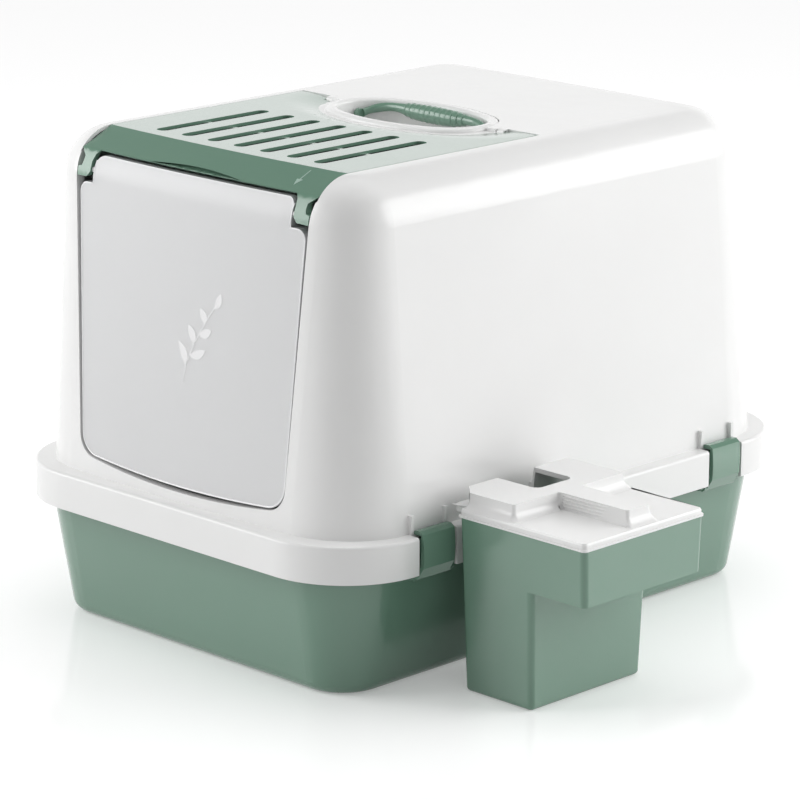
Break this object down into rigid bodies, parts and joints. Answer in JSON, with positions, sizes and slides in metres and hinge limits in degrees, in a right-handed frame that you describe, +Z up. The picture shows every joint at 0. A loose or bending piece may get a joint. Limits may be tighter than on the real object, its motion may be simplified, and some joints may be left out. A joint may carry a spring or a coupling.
{
  "type": "hooded cat litter box",
  "caption": "Hooded litter tray with a vented lift-up cover, swinging flap, side clips, fold-down carrying handle and a lidded waste caddy standing beside it.",
  "frame": {"origin": "centre of the tray's footprint on the floor", "axes": "+X to the right seen from the doorway side, towards the caddy; +Y to the back; +Z up; the doorway faces -Y"},
  "size_m": [0.5647, 0.56, 0.419],
  "materials": {
    "white_plastic": "glossy moulded white",
    "green_plastic": "glossy moulded sage green",
    "frosted_plastic": "frosted translucent grey-white",
    "carbon_felt": "dark carbon felt"
  },
  "bodies": {
    "box": {"tray": "green_plastic", "hood": "white_plastic", "door_sill": "white_plastic", "door_foot_left": "white_plastic", "door_corner_left": "white_plastic", "door_jamb_left": "white_plastic", "door_foot_right": "white_plastic", "door_corner_right": "white_plastic", "door_jamb_right": "white_plastic", "handle_well": "white_plastic"},
    "cover": {"roof_cover": "green_plastic", "filter_frame": "white_plastic", "filter_pad": "carbon_felt"},
    "flap": {"swing_door": "frosted_plastic"},
    "clip_front_right": {"latch_front_right": "green_plastic"},
    "clip_rear_right": {"latch_rear_right": "green_plastic"},
    "clip_front_left": {"latch_front_left": "green_plastic"},
    "clip_rear_left": {"latch_rear_left": "green_plastic"},
    "handle": {"carry_handle": "green_plastic"},
    "caddy": {"caddy_body": "green_plastic"},
    "caddy_top": {"caddy_lid": "white_plastic"}
  },
  "joints": [
    {"name": "cover_hinge", "type": "hinge", "parent": "box", "child": "cover", "pos_m": [0, 0.0085, 0.413], "axis": [-1, 0, 0], "range_deg": [0, 95]},
    {"name": "flap_swing", "type": "hinge", "parent": "cover", "child": "flap", "pos_m": [0, -0.2435, 0.386], "axis": [1, 0, 0], "range_deg": [-75, 70]},
    {"name": "clip_front_right_hinge", "type": "hinge", "parent": "box", "child": "clip_front_right", "pos_m": [0.2005, -0.176, 0.0993], "axis": [0, 1, 0], "range_deg": [0, 18]},
    {"name": "clip_rear_right_hinge", "type": "hinge", "parent": "box", "child": "clip_rear_right", "pos_m": [0.2005, 0.176, 0.0993], "axis": [0, 1, 0], "range_deg": [0, 100]},
    {"name": "clip_front_left_hinge", "type": "hinge", "parent": "box", "child": "clip_front_left", "pos_m": [-0.2005, -0.176, 0.0993], "axis": [0, -1, 0], "range_deg": [0, 100]},
    {"name": "clip_rear_left_hinge", "type": "hinge", "parent": "box", "child": "clip_rear_left", "pos_m": [-0.2005, 0.176, 0.0993], "axis": [0, -1, 0], "range_deg": [0, 100]},
    {"name": "handle_hinge", "type": "hinge", "parent": "box", "child": "handle", "pos_m": [0, 0.013, 0.405], "axis": [1, 0, 0], "range_deg": [0, 90]},
    {"name": "caddy_slide", "type": "slide", "parent": "box", "child": "caddy", "axis": [1, 0, 0], "range_m": [0, 0.18]},
    {"name": "caddy_lid_lift", "type": "slide", "parent": "caddy", "child": "caddy_top", "axis": [0, 0, 1], "range_m": [0, 0.08]}
  ]
}
